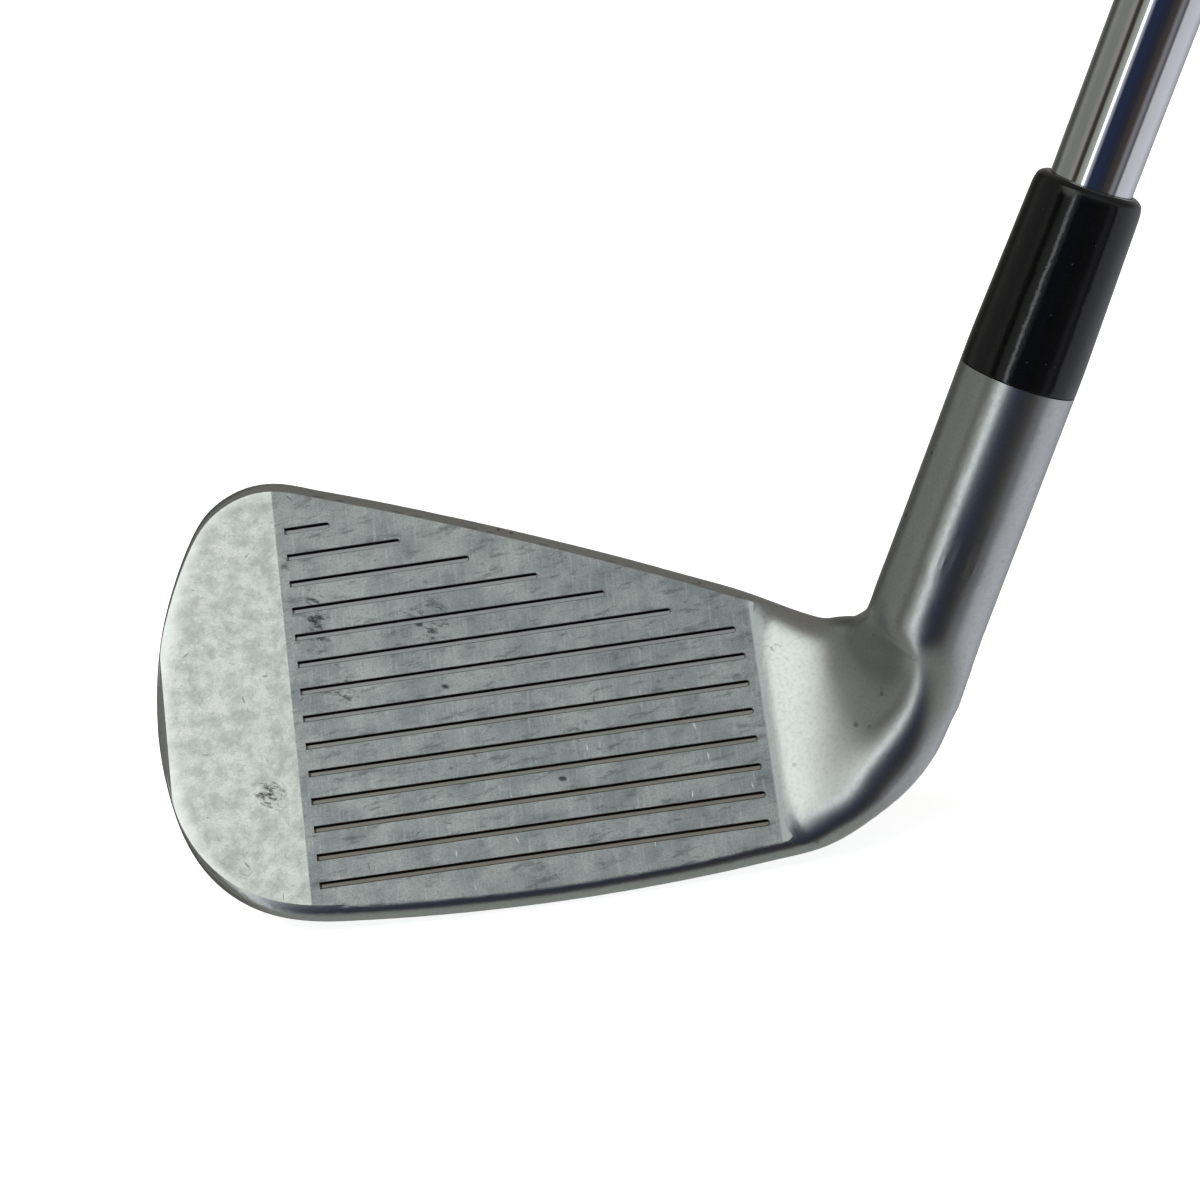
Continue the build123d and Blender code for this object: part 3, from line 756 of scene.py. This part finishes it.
# the grip: mouth ring grooves, a diamond of moulded channels, smooth collars
MOUTH, END = 672.8, 936.3
PROFILE_T = np.array([0.8, 110.0, 210.0, END - MOUTH - 20, END - MOUTH - 3]) + MOUTH
PROFILE_R = np.array([8.3, 9.75, 11.3, 12.2, 13.4])


def grip_radius(t):
    """Outer radius on a smooth curve through the profile's points."""
    slopes = np.gradient(PROFILE_R, PROFILE_T)
    i = int(np.clip(np.searchsorted(PROFILE_T, t) - 1, 0, len(PROFILE_T) - 2))
    h = PROFILE_T[i + 1] - PROFILE_T[i]
    s = min(max((t - PROFILE_T[i]) / h, 0), 1)
    return float((2 * s**3 - 3 * s**2 + 1) * PROFILE_R[i] + (s**3 - 2 * s**2 + s) * h * slopes[i]
                 + (3 * s**2 - 2 * s**3) * PROFILE_R[i + 1] + (s**3 - s**2) * h * slopes[i + 1])


def grip_relief(t, angles, r):
    if r < shaft_radius(t) + 0.6:
        return 0.0
    ring = np.zeros(len(angles))
    for k in range(6):
        ring = np.maximum(ring, 1 - ramp01(np.abs(t - (MOUTH + 5 + 3.6 * k)), 0.35, 0.75))
    for k in range(3):
        ring = np.maximum(ring, 1 - ramp01(np.abs(t - (END - 9 - 3.2 * k)), 0.3, 0.65))
    turns = angles / (2 * np.pi)
    reach = ramp01(t, MOUTH + 29, MOUTH + 30.5) * (1 - ramp01(t, END - 24, END - 22.5))
    strip = ramp01(np.abs(turns % 1.0 - 0.5), 0.045, 0.052)
    cells = 0.0
    for way in (1, -1):
        phase = (14 * turns + way * (t - MOUTH) / 5.2) % 1.0
        cells = np.maximum(cells, 1 - ramp01(np.abs(phase - 0.5), 0.05, 0.11))
    return -0.72 * ring - 0.36 * cells * reach * strip


grip = [(MOUTH, shaft_radius(MOUTH) + 0.28), (MOUTH, 7.4), (MOUTH + 0.08, 7.75), (MOUTH + 0.3, 8.08),
        (MOUTH + 0.8, 8.3)]
grip += [(t, grip_radius(t)) for t in np.arange(MOUTH + 1.1, MOUTH + 29, 0.2)]
grip += [(t, grip_radius(t)) for t in np.arange(MOUTH + 29, END - 22, 0.36)]
grip += [(t, grip_radius(t)) for t in np.arange(END - 22, END - 0.3, 0.2)]
grip += [(END - 0.15, 13.3), (END, 13.0), (END, shaft_radius(END) + 0.28)]
settle("grip_sleeve", lathe("grip_sleeve", grip, 224, grip_relief), "grip")

cap = [(END + 0.05, 1.6, 0.1), (END + 0.05, 13.0, 0.1), (END + 0.2, 13.4, 0.2), (937.4, 13.4, 1.0),
       (938.6, 12.95, 1.2), (939.5, 11.4, 1.2), (939.8, 8.9, 0.8), (939.8, 7.9, 0.1), (939.45, 7.6, 0.15),
       (939.45, 6.6, 0.15), (939.8, 6.3, 0.1), (939.8, 1.9, 0.2), (939.5, 1.6, 0.2)]
settle("grip_end_cap", lathe("grip_end_cap", softened(cap), 144), "grip_cap")

# ------------------------------------------------------------------ floor
bpy.ops.mesh.primitive_plane_add(size=8.0, location=(0, 0, CAD_BOX[0][2] - 0.0002))
floor = bpy.context.object
floor.name = "studio_floor"
paper = Mat("studio_floor")
tone = paper.mix(paper.noise(paper.place, 0.004, 2.0, 0.5), (0.90, 0.90, 0.90), (0.93, 0.93, 0.93))
paper.finish(tone, 0.9, 0.0)
paper.bsdf.inputs["Emission Color"].default_value = (1, 1, 1, 1)
paper.bsdf.inputs["Emission Strength"].default_value = 0.8
floor.data.materials.append(paper.mat)
floor.visible_glossy = False


# ------------------------------------------------------------------ studio light, painted by direction
class Sky(Tree):
    def __init__(self, tree):
        self.t = tree
        self.t.nodes.clear()
        out = self.t.nodes.new("ShaderNodeOutputWorld")
        self.background = self.t.nodes.new("ShaderNodeBackground")
        self.link(self.background.outputs[0], out.inputs[0])
        self.way = self.node("ShaderNodeTexCoord", output=0)


world = bpy.data.worlds.new("studio")
bpy.context.scene.world = world
world.use_nodes = True
sky = Sky(world.node_tree)
around = sky.mul(sky.math("ARCTAN2", sky.dot(sky.way, ACROSS), sky.dot(sky.way, -SIDE_DIR)), 180 / math.pi)
height = sky.dot(sky.way, SHAFT_DIR)

# degrees round the shaft from the front, and the light's colour there
BANDS = (
    (-180, 0.22, 0.215, 0.20), (-150, 0.08, 0.08, 0.07), (-136, 0.08, 0.08, 0.07),
    (-122, 0.24, 0.245, 0.225), (-104, 0.20, 0.205, 0.19), (-84, 0.20, 0.205, 0.19),
    (-75, 0.26, 0.26, 0.235), (-69, 0.26, 0.26, 0.235), (-64, 0.06, 0.05, 0.045),
    (-56, 0.035, 0.03, 0.025), (-51, 0.27, 0.28, 0.24), (-37, 0.40, 0.43, 0.40),
    (-35.5, 2.4, 2.5, 2.5), (-31.5, 2.4, 2.5, 2.5), (-30, 0.50, 0.53, 0.60),
    (-20, 0.02, 0.028, 0.06), (0, 0.02, 0.028, 0.06), (4, 0.020, 0.025, 0.045),
    (18, 0.026, 0.027, 0.036), (24, 0.040, 0.038, 0.040), (38, 0.06, 0.05, 0.04),
    (48, 0.22, 0.22, 0.25), (54, 0.16, 0.16, 0.18), (60, 0.08, 0.08, 0.095),
    (66, 0.52, 0.53, 0.57), (110, 0.60, 0.62, 0.68), (150, 0.30, 0.31, 0.33), (180, 0.22, 0.215, 0.20))
WINDOW_WAY = Vector((-0.355, -0.571, 0.74)).normalized()
WINDOW_REACH = math.cos(math.radians(30))
stops = [((d + 180) / 360, (r, g, b)) for d, r, g, b in BANDS]
bands = sky.ramp(sky.math("DIVIDE", sky.add(around, 180.0), 360.0), stops)
up = sky.dot(sky.way, (0.0, 0.0, 1.0))
front = sky.dot(sky.way, -SIDE_DIR)
forward = sky.step(sky.add(front, sky.mul(up, -0.2)), -0.1, 0.4)
ceiling = sky.mix(forward, (0.20, 0.19, 0.175), (0.33, 0.36, 0.37))
light = sky.mix(sky.step(height, 0.20, 0.62), bands, ceiling)
light = sky.mix(sky.step(up, -0.70, -0.90), light, (0.30, 0.32, 0.30))
window = sky.math("POWER", sky.step(sky.dot(sky.way, WINDOW_WAY), WINDOW_REACH, 1.0), 1.9)
light = sky.mix(window, light, (1.45, 1.50, 1.44))
light = sky.mix(sky.node("ShaderNodeLightPath", output=0), light, (1.0, 1.0, 1.0))
sky.link(light, sky.background.inputs[0])
sky.background.inputs[1].default_value = 1.0


def soft_light(name, place, target, size, watts):
    data = bpy.data.lights.new(name, "AREA")
    data.shape = "DISK"
    data.size = size
    data.energy = watts
    lamp = bpy.data.objects.new(name, data)
    bpy.context.scene.collection.objects.link(lamp)
    lamp.location = place
    lamp.rotation_euler = (Vector(target) - Vector(place)).to_track_quat("-Z", "Y").to_euler()
    lamp.visible_glossy = False


soft_light("key", (-0.5, -0.6, 1.2), (-0.02, 0, 0.03), 1.2, 12)

# ------------------------------------------------------------------ camera at the picture's viewing angle
azimuth, elevation, roll = math.radians(2.8), math.radians(16.88), math.radians(-9.09)
level = math.cos(elevation)
back = Vector((math.sin(azimuth) * level, -math.cos(azimuth) * level, math.sin(elevation)))
right = Vector((0, 0, 1)).cross(back).normalized()
over = back.cross(right)
view_x = math.cos(roll) * right + math.sin(roll) * over
view_y = -math.sin(roll) * right + math.cos(roll) * over
place = Vector((-23.04, 8.0, 32.81)) * MM + back * 359.5 * MM
lens = bpy.data.cameras.new("camera")
lens.sensor_width = 36.0
lens.lens = 36.0 * 3071.0 / 1200.0
lens.clip_start = 0.01
camera = bpy.data.objects.new("camera", lens)
bpy.context.scene.collection.objects.link(camera)
camera.matrix_world = Matrix((
    (view_x.x, view_y.x, back.x, place.x),
    (view_x.y, view_y.y, back.y, place.y),
    (view_x.z, view_y.z, back.z, place.z),
    (0, 0, 0, 1)))
bpy.context.scene.camera = camera
bpy.context.scene.view_settings.view_transform = "Standard"
